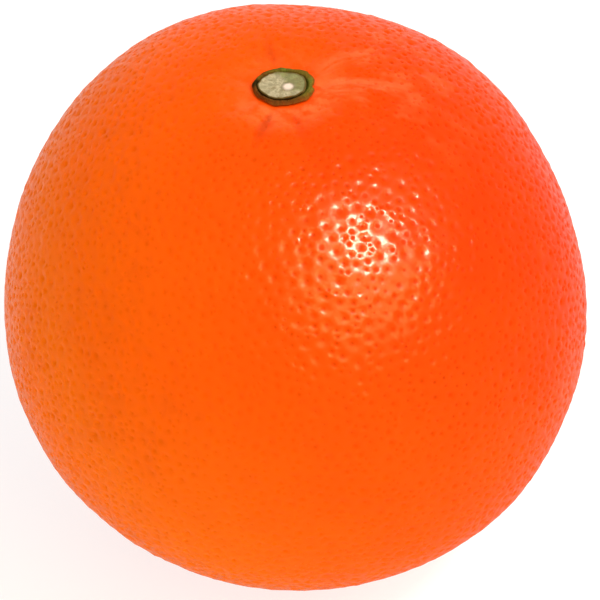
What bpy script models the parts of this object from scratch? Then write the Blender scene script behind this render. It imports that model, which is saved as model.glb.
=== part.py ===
"""A tangelo as picked: the whole fruit, the calyx that it hung from, and the clipped end of the stem.

Units are metres and +Z is up. The fruit stands on a small flat spot at its blossom end, which lies at z = 0,
with the middle of the fruit over the origin. Run it with blender --background --python part.py, or from
Blender's text editor.
"""

import math

import bmesh
import bpy
import numpy as np

MM = 0.001

# The fruit as a whole
WIDTH = 76.0 * MM
HEIGHT = 74.6 * MM
SEED = 11

# Lopsided growth: slow waves in the radius, round a slanting axis that leans out over the front.
# Each wave is how many bulges it has, how far they stand out as a share of the radius, and where one lies in degrees.
GROWTH_AXIS_ELEVATION = 43.0
GROWTH_WAVES = (
    (2, 0.0142, -70.4),
    (3, 0.0062, -26.7),
    (4, 0.0054, 41.6),
    (5, 0.0038, -18.0),
    (6, 0.0025, -2.9),
    (7, 0.0020, 2.2),
)
UNEVEN_WAVES = 18
UNEVEN_LENGTHS = (11.0 * MM, 26.0 * MM)
UNEVEN_HEIGHT = 0.07 * MM

# The stem end: the point that the fruit hung from, a little off the middle, in a shallow hollow with soft furrows
STEM_LEAN = 2.3
STEM_LEAN_TOWARDS = 180.0
SHOULDER_REACH = 16.0 * MM
SHOULDER_DEPTH = 0.7 * MM
HOLLOW_REACH = 7.6 * MM
HOLLOW_DEPTH = 1.25 * MM
FURROWS = 9
FIRST_FURROW_AT = -108.0
FURROW_DEPTH = 0.42 * MM
FURROW_HALF_ANGLE = 9.0
FURROW_MIDDLE = 7.0 * MM
FURROW_REACH = 6.0 * MM
SOCKET_REACH = 3.6 * MM
SOCKET_DEPTH = 0.6 * MM

# The blossom end: the flat spot that the fruit rests on, and the little scar beside its middle
REST_DEPTH = 0.42 * MM
SCAR_OFFSET = (3.3 * MM, 0.9 * MM)
SCAR_RADIUS = 1.6 * MM
SCAR_DEPTH = 0.5 * MM

# The pitted rind: wide pits, each with a low ridge all round it, closer together at the two ends
PITS = 1720
PIT_DEPTH = 0.20 * MM
PIT_DEPTH_SPREAD = 0.25
RIDGE_SPREAD = 0.03 * MM
PIT_JITTER = 0.36
PIT_SETTLING = 3
PIT_CROWDING = 2.2
PIT_CROWDING_ANGLE = 17.0
PITS_START = 5.0 * MM
PITS_FULL = 8.5 * MM
RIDGE_ANGLE = 10.0

# The calyx: a low collar with five blunt lobes, pressed onto the rind
CALYX_RADIUS = 4.3 * MM
CALYX_LOBES = 5
CALYX_LOBE_AT = 38.0
CALYX_NOTCH = 0.10
CALYX_NOTCHED_FROM = 3.5 * MM
CALYX_SIDES = 60
CALYX_EDGE = 0.40 * MM
CALYX_RIM_RADIUS = 3.65 * MM
CALYX_RIM_HEIGHT = 0.95 * MM
CALYX_SEAT_RADIUS = 3.20 * MM
CALYX_SEAT_HEIGHT = 0.30 * MM

# The clipped stem: a short woody stub whose cut face shows the pith
STUB_RADIUS = 2.85 * MM
STUB_LENGTH = 0.80 * MM
STUB_BARK = 0.26 * MM
STUB_DISH = 0.12 * MM
PITH_RADIUS = 0.55 * MM
PITH_HEIGHT = 0.10 * MM
STUB_SIDES = 40
STUB_FLUTES = 5
STUB_FLUTING = 0.035

# Room left between two solids that touch
GAP = 0.3 * MM


def unit(vectors):
    return vectors / np.linalg.norm(vectors, axis=-1, keepdims=True)


def direction(elevation, azimuth):
    """The unit vector at these degrees above the horizontal and round from +X."""
    up, round_from_x = math.radians(elevation), math.radians(azimuth)
    return np.array([math.cos(up) * math.cos(round_from_x), math.cos(up) * math.sin(round_from_x), math.sin(up)])


def square_to(axis):
    """Two unit vectors square to the axis and to each other."""
    first = unit(np.cross((0.0, 1.0, 0.0), axis))
    return first, np.cross(axis, first)


def polar(directions, axis):
    """How far each direction turns away from the axis, and where it lies round the axis, in radians."""
    first, second = square_to(axis)
    away = np.arccos(np.clip(directions @ axis, -1.0, 1.0))
    return away, np.arctan2(directions @ second, directions @ first)


GROWTH_AXIS = direction(GROWTH_AXIS_ELEVATION, -90.0)
STEM_AXIS = direction(90.0 - STEM_LEAN, STEM_LEAN_TOWARDS)
MEAN_RADIUS = (WIDTH + HEIGHT) / 4


def growth(directions):
    """The share by which the fruit stands out or in, from growing lopsided."""
    away, around = polar(directions, GROWTH_AXIS)
    share = np.zeros(len(directions))
    for bulges, height, degrees in GROWTH_WAVES:
        share += height * np.sin(away) ** bulges * np.cos(bulges * (around - math.radians(degrees)))
    return share


def unevenness(directions):
    """Low, soft lumps: the sum of waves that run through space in random directions."""
    draw = np.random.default_rng(SEED)
    total = np.zeros(len(directions))
    for _ in range(UNEVEN_WAVES):
        heading = unit(draw.normal(size=3))
        length = draw.uniform(*UNEVEN_LENGTHS)
        phase = draw.uniform(0.0, 2 * math.pi)
        total += np.sin(2 * math.pi * MEAN_RADIUS / length * (directions @ heading) + phase)
    return UNEVEN_HEIGHT * total / math.sqrt(UNEVEN_WAVES)


def stem_end(directions):
    """How far the rind dips round the stem: shoulders, the hollow, the button's socket, and furrows that run out."""
    away, around = polar(directions, STEM_AXIS)
    reach = away * MEAN_RADIUS
    dip = SHOULDER_DEPTH * np.exp(-((reach / SHOULDER_REACH) ** 2))
    dip += HOLLOW_DEPTH * np.exp(-((reach / HOLLOW_REACH) ** 4))
    dip += SOCKET_DEPTH * np.exp(-((reach / SOCKET_REACH) ** 4))
    draw = np.random.default_rng(SEED + 1)
    along = np.exp(-(((reach - FURROW_MIDDLE) / FURROW_REACH) ** 2)) * (1 - np.exp(-((reach / CALYX_RADIUS) ** 4)))
    for number in range(FURROWS):
        wander = 0.0 if number == 0 else draw.uniform(-0.32, 0.32)
        at = math.radians(FIRST_FURROW_AT + 360 / FURROWS * (number + wander))
        turn = np.angle(np.exp(1j * (around - at)))
        depth = FURROW_DEPTH * (1.0 if number == 0 else draw.uniform(0.35, 0.9))
        dip += depth * along * np.exp(-((turn / math.radians(FURROW_HALF_ANGLE)) ** 2))
    return dip


def rind(directions):
    """The rind without its pits: one point for each unit vector from the middle of the fruit."""
    level = (directions[:, 0] ** 2 + directions[:, 1] ** 2) / (WIDTH / 2) ** 2
    upright = directions[:, 2] ** 2 / (HEIGHT / 2) ** 2
    radius = (1 + growth(directions)) / np.sqrt(level + upright)
    radius += unevenness(directions) - stem_end(directions)
    return directions * radius[:, None]


def evenly_spread(count, crowding, jitter, seed):
    """Unit vectors on a golden spiral, crowded together at both ends and each moved a little at random."""
    draw = np.random.default_rng(seed)
    away = np.linspace(0.0, math.pi, 2000)
    from_end = np.minimum(away, math.pi - away) / math.radians(PIT_CROWDING_ANGLE)
    weight = (1 + crowding * np.exp(-(from_end**2))) * np.sin(away)
    so_far = np.concatenate([[0.0], np.cumsum((weight[1:] + weight[:-1]) / 2)])
    turn_away = np.interp((np.arange(count) + 0.5) / count * so_far[-1], so_far, away)
    turn_round = np.arange(count) * math.pi * (3 - math.sqrt(5))
    flat = np.sin(turn_away)
    spread = np.stack([flat * np.cos(turn_round), flat * np.sin(turn_round), np.cos(turn_away)], axis=1)
    crowded = np.interp(turn_away, away, 1 + crowding * np.exp(-(from_end**2)))
    spacing = math.sqrt(4 * math.pi / count) / np.sqrt(crowded / np.mean(crowded))
    return unit(spread + jitter * spacing[:, None] * draw.uniform(-1.0, 1.0, (count, 3)))


def smooth_step(value, low, high):
    share = np.clip((value - low) / (high - low), 0.0, 1.0)
    return share * share * (3 - 2 * share)


def centring_shift():
    """What brings the fruit's middle over the origin and its resting face down to z = 0."""
    points = rind(evenly_spread(20000, 0.0, 0.0, SEED))
    low, high = points.min(axis=0), points.max(axis=0)
    return np.array([-(low[0] + high[0]) / 2, -(low[1] + high[1]) / 2, -low[2] - REST_DEPTH])


SHIFT = centring_shift()


def clear_scene():
    for obj in list(bpy.data.objects):
        bpy.data.objects.remove(obj, do_unlink=True)
    for blocks in (bpy.data.meshes, bpy.data.materials, bpy.data.collections):
        for block in list(blocks):
            blocks.remove(block)


def principled(name, colour, roughness):
    material = bpy.data.materials.new(name)
    material.use_nodes = True
    shader = material.node_tree.nodes["Principled BSDF"]
    shader.inputs["Base Color"].default_value = (*colour, 1.0)
    shader.inputs["Roughness"].default_value = roughness
    shader.inputs["Metallic"].default_value = 0.0
    return material


def object_from(bm, name, collection):
    """A mesh object from what bmesh holds, with its normals facing out."""
    bmesh.ops.recalc_face_normals(bm, faces=bm.faces[:])
    mesh = bpy.data.meshes.new(name)
    bm.to_mesh(mesh)
    bm.free()
    obj = bpy.data.objects.new(name, mesh)
    collection.objects.link(obj)
    return obj


def smooth(obj, sharp_from):
    obj.data.shade_smooth()
    obj.data.set_sharp_from_angle(angle=math.radians(sharp_from))


def hull_over(directions):
    bm = bmesh.new()
    for point in directions:
        bm.verts.new(point)
    bmesh.ops.convex_hull(bm, input=bm.verts[:])
    return bm


def settled(directions, rounds):
    """The same points after each has moved half-way to the middle of its neighbours, a few times over."""
    for _ in range(rounds):
        bm = hull_over(directions)
        bmesh.ops.smooth_vert(bm, verts=bm.verts[:], factor=0.5, use_axis_x=True, use_axis_y=True, use_axis_z=True)
        directions = unit(np.array([vertex.co for vertex in bm.verts]))
        bm.free()
    return directions


def pitted_rind(collection):
    """The rind as one closed mesh: a hull over the pits, with its edges turned so that they run round each pit."""
    pits = settled(evenly_spread(PITS, PIT_CROWDING, PIT_JITTER, SEED + 2), PIT_SETTLING)
    bm = hull_over(pits)
    between_pits = bm.edges[:]
    bmesh.ops.poke(bm, faces=bm.faces[:])
    bmesh.ops.rotate_edges(bm, edges=between_pits, use_ccw=False)
    directions = unit(np.array([vertex.co for vertex in bm.verts]))
    draw = np.random.default_rng(SEED + 3)
    depth = RIDGE_SPREAD * draw.random(len(directions))
    slope = [np.mean([edge.calc_length() for edge in vertex.link_edges]) for vertex in list(bm.verts)[:PITS]]
    depth[:PITS] = PIT_DEPTH * np.array(slope) / np.mean(slope)
    depth[:PITS] *= draw.uniform(1 - PIT_DEPTH_SPREAD, 1 + PIT_DEPTH_SPREAD, PITS)
    depth *= smooth_step(polar(directions, STEM_AXIS)[0] * MEAN_RADIUS, PITS_START, PITS_FULL)
    depth *= smooth_step(polar(directions, np.array([0.0, 0.0, -1.0]))[0] * MEAN_RADIUS, PITS_START, PITS_FULL)
    points = rind(directions) - directions * depth[:, None] + SHIFT
    for vertex, point in zip(bm.verts, points):
        vertex.co = point
    return object_from(bm, "fruit", collection)


def rest_cutter(collection):
    """A block whose top is the surface that the fruit rests on."""
    bm = bmesh.new()
    bmesh.ops.create_cube(bm, size=1.0)
    bmesh.ops.scale(bm, vec=(WIDTH, WIDTH, 10 * MM), verts=bm.verts)
    bmesh.ops.translate(bm, vec=(0.0, 0.0, -5 * MM), verts=bm.verts)
    return object_from(bm, "rest_cutter", collection)


def scar_cutter(collection):
    """A ball that bites the round scar of the blossom out of the flat spot."""
    ball = (SCAR_RADIUS**2 + SCAR_DEPTH**2) / (2 * SCAR_DEPTH)
    bm = bmesh.new()
    bmesh.ops.create_uvsphere(bm, u_segments=32, v_segments=24, radius=ball)
    bmesh.ops.translate(bm, vec=(*SCAR_OFFSET, SCAR_DEPTH - ball), verts=bm.verts)
    return object_from(bm, "scar_cutter", collection)


def cut(obj, cutter, name):
    modifier = obj.modifiers.new(name, "BOOLEAN")
    modifier.operation = "DIFFERENCE"
    modifier.solver = "EXACT"
    modifier.object = cutter


def turned(profile, sides):
    """A closed bmesh turned round Z from a profile of (radius, height) pairs that starts and ends on the axis."""
    bm = bmesh.new()
    corners = [bm.verts.new((radius, 0.0, height)) for radius, height in profile]
    edges = [bm.edges.new(pair) for pair in zip(corners, corners[1:])]
    bmesh.ops.spin(
        bm,
        geom=corners + edges,
        cent=(0.0, 0.0, 0.0),
        axis=(0.0, 0.0, 1.0),
        angle=2 * math.pi,
        steps=sides,
        use_merge=True,
    )
    bmesh.ops.remove_doubles(bm, verts=bm.verts[:], dist=0.001 * MM)
    return bm


def over_the_stem(radius, around):
    """Points on the rind at these distances from the stem's axis, and the axis to build up along."""
    first, second = square_to(STEM_AXIS)
    across = np.cos(around)[:, None] * first + np.sin(around)[:, None] * second
    return rind(unit(STEM_AXIS * MEAN_RADIUS + radius[:, None] * across)) + SHIFT


def place_on_stem_end(bm, reshape, floor):
    """Moves a turned bmesh from round Z onto the stem end. reshape gives each vertex its own radius."""
    local = np.array([vertex.co for vertex in bm.verts])
    radius, around = np.hypot(local[:, 0], local[:, 1]), np.arctan2(local[:, 1], local[:, 0])
    radius = reshape(radius, around)
    points = floor(radius, around) + STEM_AXIS * local[:, 2:]
    for vertex, point in zip(bm.verts, points):
        vertex.co = point


def calyx(collection):
    """The collar drapes over the rind, so its underside follows the hollow."""
    profile = (
        (0.0, 0.0),
        (0.5 * CALYX_RADIUS, 0.0),
        (0.8 * CALYX_RADIUS, 0.0),
        (0.96 * CALYX_RADIUS, 0.0),
        (CALYX_RADIUS, 0.5 * CALYX_EDGE),
        (0.97 * CALYX_RADIUS, CALYX_EDGE),
        (0.5 * (CALYX_RADIUS + CALYX_RIM_RADIUS), 0.55 * (CALYX_EDGE + CALYX_RIM_HEIGHT)),
        (1.06 * CALYX_RIM_RADIUS, 0.95 * CALYX_RIM_HEIGHT),
        (CALYX_RIM_RADIUS, CALYX_RIM_HEIGHT),
        (0.5 * (CALYX_RIM_RADIUS + CALYX_SEAT_RADIUS), 0.92 * CALYX_RIM_HEIGHT),
        (CALYX_SEAT_RADIUS, CALYX_SEAT_HEIGHT),
        (0.5 * CALYX_SEAT_RADIUS, CALYX_SEAT_HEIGHT),
        (0.0, CALYX_SEAT_HEIGHT),
    )

    def lobed(radius, around):
        lobe = np.abs(np.cos(CALYX_LOBES / 2 * (around - math.radians(CALYX_LOBE_AT))))
        outer = smooth_step(radius, CALYX_NOTCHED_FROM, CALYX_RADIUS)
        return radius * (1 - CALYX_NOTCH * outer * (1 - lobe**0.6))

    def floor(radius, around):
        return over_the_stem(radius, around) + STEM_AXIS * GAP

    bm = turned(profile, CALYX_SIDES)
    place_on_stem_end(bm, lobed, floor)
    return object_from(bm, "calyx", collection)


def stem_stub(collection):
    """The stub stands in the calyx's seat, clear of its floor and its rim."""
    face = STUB_LENGTH - STUB_DISH
    profile = (
        (0.0, 0.0),
        (0.9 * STUB_RADIUS, 0.0),
        (STUB_RADIUS, 0.15 * STUB_LENGTH),
        (STUB_RADIUS, 0.85 * STUB_LENGTH),
        (STUB_RADIUS - 0.4 * STUB_BARK, STUB_LENGTH),
        (STUB_RADIUS - STUB_BARK, STUB_LENGTH),
        (STUB_RADIUS - 1.6 * STUB_BARK, face),
        (1.4 * PITH_RADIUS, face),
        (PITH_RADIUS, face + PITH_HEIGHT),
        (0.0, face + 1.3 * PITH_HEIGHT),
    )

    def fluted(radius, around):
        return radius * (1 - STUB_FLUTING * (0.5 + 0.5 * np.cos(STUB_FLUTES * around)))

    def floor(radius, around):
        middle = over_the_stem(np.zeros(1), np.zeros(1))[0]
        first, second = square_to(STEM_AXIS)
        across = np.cos(around)[:, None] * first + np.sin(around)[:, None] * second
        return middle + radius[:, None] * across + STEM_AXIS * (2 * GAP + CALYX_SEAT_HEIGHT)

    bm = turned(profile, STUB_SIDES)
    place_on_stem_end(bm, fluted, floor)
    return object_from(bm, "stem_stub", collection)


def main():
    clear_scene()
    bpy.context.scene.unit_settings.scale_length = 1.0
    tangelo = bpy.data.collections.new("tangelo")
    cutters = bpy.data.collections.new("cutters")
    for collection in (tangelo, cutters):
        bpy.context.scene.collection.children.link(collection)

    fruit = pitted_rind(tangelo)
    for cutter, name in ((rest_cutter(cutters), "rest spot"), (scar_cutter(cutters), "blossom scar")):
        cutter.hide_render = True
        cutter.display_type = "WIRE"
        cut(fruit, cutter, name)
    button = calyx(tangelo)
    stub = stem_stub(tangelo)

    fruit.data.materials.append(principled("orange_rind", (0.95, 0.105, 0.006), 0.42))
    button.data.materials.append(principled("olive_calyx", (0.13, 0.085, 0.018), 0.75))
    stub.data.materials.append(principled("pale_cut_stem", (0.48, 0.42, 0.22), 0.80))
    smooth(fruit, sharp_from=RIDGE_ANGLE)
    smooth(button, sharp_from=40.0)
    smooth(stub, sharp_from=40.0)


main()
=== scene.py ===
# %% [markdown]
# # A tangelo, dressed on its CAD frame
#
# The part is one picked tangelo that stands on its blossom end. The CAD model settles its size, its
# lopsided outline, the shallow hollow round the stem and the flat spot underneath. This script grows the
# visible fruit over that frame: a rind with its thousands of oil-gland pits as real geometry, the dry
# little calyx, and the clipped stem with its pale cut face. Each cell first says what the real thing is,
# then builds it.

import math

import bmesh
import bpy
import numpy as np
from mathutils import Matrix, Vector


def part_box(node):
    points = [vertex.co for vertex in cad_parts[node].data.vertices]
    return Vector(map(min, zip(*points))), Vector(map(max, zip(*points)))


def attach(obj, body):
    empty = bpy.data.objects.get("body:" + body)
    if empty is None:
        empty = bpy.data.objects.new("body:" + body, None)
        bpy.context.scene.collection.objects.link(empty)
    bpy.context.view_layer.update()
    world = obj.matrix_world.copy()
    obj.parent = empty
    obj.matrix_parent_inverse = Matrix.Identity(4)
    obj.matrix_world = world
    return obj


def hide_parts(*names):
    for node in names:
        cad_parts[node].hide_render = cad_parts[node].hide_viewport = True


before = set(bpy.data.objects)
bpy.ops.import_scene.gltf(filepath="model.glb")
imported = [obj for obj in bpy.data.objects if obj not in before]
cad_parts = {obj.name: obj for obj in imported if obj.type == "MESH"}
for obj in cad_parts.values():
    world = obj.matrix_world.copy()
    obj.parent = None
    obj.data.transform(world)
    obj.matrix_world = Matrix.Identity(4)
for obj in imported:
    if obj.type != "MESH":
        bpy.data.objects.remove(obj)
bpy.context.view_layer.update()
print("CAD nodes:", sorted(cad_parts))

# %% [markdown]
# ## The shape of the fruit
#
# A tangelo is close to a ball, but it never grows quite evenly. It could be sculpted from a sphere. Here
# the surface is a formula instead, because then the pits, the button and the colours can all ask it where
# the rind is: a slightly flattened ball, slow lopsided waves round a slanting axis, soft lumps, and at
# the stem end wide shoulders with a hollow and furrows that run out of it. The values are the CAD
# source's own, so both models share one skin.

# %% Sizes of the fruit
MM = 0.001
WIDTH = 76.0 * MM
HEIGHT = 74.6 * MM
MEAN_RADIUS = (WIDTH + HEIGHT) / 4
SEED = 11
print("mean radius, mm:", round(MEAN_RADIUS / MM, 2))


# %% Directions and distances
def unit(vectors):
    return vectors / np.linalg.norm(vectors, axis=-1, keepdims=True)


def direction(elevation, azimuth):
    """The unit vector at these degrees above the horizontal and round from +X."""
    up, round_from_x = math.radians(elevation), math.radians(azimuth)
    flat = math.cos(up)
    return np.array([flat * math.cos(round_from_x), flat * math.sin(round_from_x), math.sin(up)])


def square_to(axis):
    """Two unit vectors square to the axis and to each other."""
    first = unit(np.cross((0.0, 1.0, 0.0), axis))
    return first, np.cross(axis, first)


def polar(directions, axis):
    """How far each direction turns away from the axis, and where it lies round the axis, in radians."""
    first, second = square_to(axis)
    away = np.arccos(np.clip(directions @ axis, -1.0, 1.0))
    return away, np.arctan2(directions @ second, directions @ first)


def smooth_step(value, low, high):
    share = np.clip((value - low) / (high - low), 0.0, 1.0)
    return share * share * (3 - 2 * share)


# %% Growing lopsided
GROWTH_AXIS_ELEVATION = 43.0
# The side that the photograph was taken from, in degrees round from +X.
FRONT = -90.0
GROWTH_AXIS = direction(GROWTH_AXIS_ELEVATION, FRONT)
GROWTH_WAVES = (
    (2, 0.0142, -70.4),
    (3, 0.0062, -26.7),
    (4, 0.0054, 41.6),
    (5, 0.0038, -18.0),
    (6, 0.0025, -2.9),
    (7, 0.0020, 2.2),
)


def growth(directions):
    """The share by which the fruit stands out or in. A wave has its bulges, height and turn in degrees."""
    away, around = polar(directions, GROWTH_AXIS)
    share = np.zeros(len(directions))
    for bulges, height, degrees in GROWTH_WAVES:
        share += height * np.sin(away) ** bulges * np.cos(bulges * (around - math.radians(degrees)))
    return share


def lumps(points, seed, waves, lengths, height):
    """Soft lumps: the sum of waves that run through space in random directions."""
    draw = np.random.default_rng(seed)
    total = np.zeros(len(points))
    for _ in range(waves):
        heading = unit(draw.normal(size=3))
        length = draw.uniform(*lengths)
        phase = draw.uniform(0.0, 2 * math.pi)
        total += np.sin(2 * math.pi / length * (points @ heading) + phase)
    return height * total / math.sqrt(waves)


# %% [markdown]
# ## The stem end
#
# At the stem a tangelo has rounded shoulders and a shallow hollow, and short furrows run outwards from
# under the button. They could be pressed in with a sculpting brush. As bell curves over the distance from
# the stem's axis they stay soft, and one furrow is a bell curve over the angle round it as well.

# %% Furrows
STEM_LEAN = 2.3
STEM_LEAN_TOWARDS = 180.0
STEM_AXIS = direction(90.0 - STEM_LEAN, STEM_LEAN_TOWARDS)
FURROWS = 9
FIRST_FURROW_AT = -108.0
FURROW_WANDER = 0.32
FURROW_DEPTH = 0.42 * MM
FURROW_DEPTH_SHARES = (0.35, 0.9)
FURROW_HALF_ANGLE = 9.0
FURROW_START = 4.3 * MM
FURROW_MIDDLE = 7.0 * MM
FURROW_REACH = 6.0 * MM


def from_stem(directions):
    """The distance over the rind from the stem's axis."""
    return polar(directions, STEM_AXIS)[0] * MEAN_RADIUS


def furrows(directions):
    """How deep the furrows are that run out from under the button. The first one is the deepest."""
    reach, around = from_stem(directions), polar(directions, STEM_AXIS)[1]
    under_button = np.exp(-((reach / FURROW_START) ** 4))
    along = np.exp(-(((reach - FURROW_MIDDLE) / FURROW_REACH) ** 2)) * (1 - under_button)
    dip = np.zeros(len(directions))
    draw = np.random.default_rng(SEED + 1)
    for number in range(FURROWS):
        wander = 0.0 if number == 0 else draw.uniform(-FURROW_WANDER, FURROW_WANDER)
        at = math.radians(FIRST_FURROW_AT + 360 / FURROWS * (number + wander))
        turn = np.angle(np.exp(1j * (around - at)))
        depth = FURROW_DEPTH * (1.0 if number == 0 else draw.uniform(*FURROW_DEPTH_SHARES))
        dip += depth * along * np.exp(-((turn / math.radians(FURROW_HALF_ANGLE)) ** 2))
    return dip


# %% Shoulders, hollow and socket
SHOULDER_REACH = 16.0 * MM
SHOULDER_DEPTH = 0.7 * MM
HOLLOW_REACH = 7.6 * MM
HOLLOW_DEPTH = 1.25 * MM
SOCKET_REACH = 3.6 * MM
SOCKET_DEPTH = 0.6 * MM


def stem_end(directions):
    """How far the rind dips round the stem: shoulders, the hollow, the button's socket, and the furrows."""
    reach = from_stem(directions)
    dip = SHOULDER_DEPTH * np.exp(-((reach / SHOULDER_REACH) ** 2))
    dip += HOLLOW_DEPTH * np.exp(-((reach / HOLLOW_REACH) ** 4))
    dip += SOCKET_DEPTH * np.exp(-((reach / SOCKET_REACH) ** 4))
    return dip + furrows(directions)


# %% The rind without its pits
UNEVEN_WAVES = 18
UNEVEN_LENGTHS = (11.0 * MM, 26.0 * MM)
UNEVEN_HEIGHT = 0.07 * MM


def rind(directions):
    """One point of the smooth rind for each unit vector from the middle of the fruit."""
    level = (directions[:, 0] ** 2 + directions[:, 1] ** 2) / (WIDTH / 2) ** 2
    upright = directions[:, 2] ** 2 / (HEIGHT / 2) ** 2
    radius = (1 + growth(directions)) / np.sqrt(level + upright)
    radius += lumps(directions * MEAN_RADIUS, SEED, UNEVEN_WAVES, UNEVEN_LENGTHS, UNEVEN_HEIGHT)
    radius -= stem_end(directions)
    return directions * radius[:, None]


# %% Points on a ball, and where the fruit stands
OUTLINE_POINTS = 20000
SPIRAL_STEPS = 4000
CROWDING_ANGLE = 17.0
REST_DEPTH = 0.42 * MM


def golden_spiral(count, crowding=0.0):
    """Unit vectors spread evenly on a golden spiral, or crowded together at both ends."""
    away = np.linspace(0.0, math.pi, SPIRAL_STEPS)
    from_end = np.minimum(away, math.pi - away) / math.radians(CROWDING_ANGLE)
    weight = (1 + crowding * np.exp(-(from_end**2))) * np.sin(away)
    so_far = np.concatenate([[0.0], np.cumsum((weight[1:] + weight[:-1]) / 2)])
    turn_away = np.interp((np.arange(count) + 0.5) / count * so_far[-1], so_far, away)
    turn_round = np.arange(count) * math.pi * (3 - math.sqrt(5))
    flat = np.sin(turn_away)
    return np.stack([flat * np.cos(turn_round), flat * np.sin(turn_round), np.cos(turn_away)], axis=1)


outline = rind(golden_spiral(OUTLINE_POINTS))
low, high = outline.min(axis=0), outline.max(axis=0)
SHIFT = np.array([-(low[0] + high[0]) / 2, -(low[1] + high[1]) / 2, -low[2] - REST_DEPTH])
print("shift of the fruit's middle, mm:", np.round(SHIFT / MM, 2))

# %% [markdown]
# ## The pits of the rind
#
# Every oil gland in the rind leaves a small round dip, about 1.5 mm from its neighbours, with smooth
# bulging skin between. The dips are what break the highlight into a net of light, so they are modelled
# and not only painted. A displacement texture would need millions of faces to draw them round. Instead
# the mesh is laid out for them: points are spread over a ball, shaken so that no pattern shows, and left
# to settle like soap bubbles. A hull over them gives each point a cell, and each cell becomes a pit: a
# low middle, a ring of points where the pit's wall meets the skin, and a rim shared with its neighbours.

# %% Cells round the settled points
PITS = 9800
PIT_CROWDING = 1.1
PIT_SHAKE = 1.0
PIT_SETTLING = 2
ALL_AXES = {"use_axis_x": True, "use_axis_y": True, "use_axis_z": True}


def hull_over(directions):
    """The hull over points on a ball, as a bmesh. A point that ends up under it has no faces."""
    bm = bmesh.new()
    for point in directions:
        bm.verts.new(point)
    bm.verts.index_update()
    bmesh.ops.convex_hull(bm, input=bm.verts[:])
    return bm


def settled_points():
    draw = np.random.default_rng(SEED + 5)
    points = golden_spiral(PITS, PIT_CROWDING)
    spacing = math.sqrt(4 * math.pi / PITS)
    points = unit(points + PIT_SHAKE * spacing * draw.uniform(-1.0, 1.0, points.shape))
    for _ in range(PIT_SETTLING):
        bm = hull_over(points)
        bmesh.ops.smooth_vert(bm, verts=bm.verts[:], factor=0.5, **ALL_AXES)
        points = unit(np.array([vertex.co for vertex in bm.verts if vertex.link_faces]))
        bm.free()
    return points


def settled_cells():
    """The middle of each pit, and the three pits round each point where cells meet, counter-clockwise."""
    points = settled_points()
    bm = hull_over(points)
    corners = [[vertex.index for vertex in face.verts] for face in bm.faces]
    bm.free()
    used, trios = np.unique(corners, return_inverse=True)
    points, trios = points[used], trios.reshape(-1, 3)
    first, second, third = (points[trios[:, corner]] for corner in range(3))
    inward = np.einsum("ij,ij->i", np.cross(second - first, third - first), first) < 0
    trios[inward] = trios[inward][:, ::-1]
    return points, trios


pit_points, trios = settled_cells()
print(len(pit_points), "pits,", len(trios), "points where three cells meet")

# %% [markdown]
# ## From cells to a mesh
#
# Every trio of neighbouring pits shares one rim point, and gives each of its pits one ring point. Between
# two neighbours the wall is a four-sided face from ring to rim, and inside a ring the pit's floor is a
# fan. Depths are drawn at random, because no two glands are alike, and the skin between them is pebbled
# by short waves. Towards the button the pits fade out, as they do on the stretched skin there.

# %% Which ring and rim points belong together
def cell_walls():
    """For each corner of each trio: its pit and rim point, and the next wall's far rim and ring point."""
    count, rims = len(pit_points), len(trios)
    start, end = trios.reshape(-1), np.roll(trios, -1, axis=1).reshape(-1)
    ways = start * count + end
    order = np.argsort(ways)
    back = order[np.searchsorted(ways, end * count + start, sorter=order)]
    rim_here, rim_there = np.arange(3 * rims) // 3, back // 3
    ring_there = 3 * rim_there + (back % 3 + 1) % 3
    return start, rim_here, rim_there, ring_there


pit_of_ring, rim_here, rim_there, ring_there = cell_walls()

# %% Where each point of the rind lies
PIT_RING = 0.55
PIT_DEPTH = 0.20 * MM
PIT_DEPTH_SPREAD = 0.4
PIT_RING_DEPTH = 0.20
RIM_SPREAD = 0.05 * MM
PEBBLE_WAVES = 60
PEBBLE_LENGTHS = (1.4 * MM, 2.6 * MM)
PEBBLE_HEIGHT = 0.044 * MM
PITS_START = 3.6 * MM
PITS_FULL = 7.0 * MM
SCAR_OFFSET = (3.3 * MM, 0.9 * MM)
SCAR_RADIUS = 1.6 * MM
SCAR_DEPTH = 0.5 * MM


def pit_layout():
    """A unit vector for each pit, ring and rim point, and each pit's size as a share of the mean one."""
    rim_points = unit(pit_points[trios].sum(axis=1))
    ring_points = unit((1 - PIT_RING) * pit_points[trios] + PIT_RING * rim_points[:, None]).reshape(-1, 3)
    size = np.zeros(len(pit_points))
    np.add.at(size, pit_of_ring, np.linalg.norm(pit_points[pit_of_ring] - rim_points[rim_here], axis=1))
    size /= np.bincount(pit_of_ring, minlength=len(pit_points))
    print("mean distance between pits, mm:", round(math.sqrt(3) * size.mean() * MEAN_RADIUS / MM, 2))
    return np.concatenate([pit_points, ring_points, rim_points]), size / size.mean()


def pit_dips(directions, size, draw):
    """How deep each point lies under the smooth rind."""
    depth = PIT_DEPTH * size * draw.uniform(1 - PIT_DEPTH_SPREAD, 1 + PIT_DEPTH_SPREAD, len(size))
    rims = RIM_SPREAD * draw.random(len(trios))
    dips = np.concatenate([depth, PIT_RING_DEPTH * depth[pit_of_ring], rims])
    dips -= lumps(directions * MEAN_RADIUS, SEED + 4, PEBBLE_WAVES, PEBBLE_LENGTHS, PEBBLE_HEIGHT)
    return dips * smooth_step(from_stem(directions), PITS_START, PITS_FULL)


def stood_on_the_floor(points):
    """Presses the flat spot, and sinks the scar that the flower left there."""
    from_scar = np.hypot(points[:, 0] - SCAR_OFFSET[0], points[:, 1] - SCAR_OFFSET[1])
    from_scar = np.where(points[:, 2] < WIDTH / 4, from_scar, WIDTH)
    points[:, 2] = np.maximum(points[:, 2], 0.0) + SCAR_DEPTH * np.exp(-((from_scar / SCAR_RADIUS) ** 4))
    return points, from_scar


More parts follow.
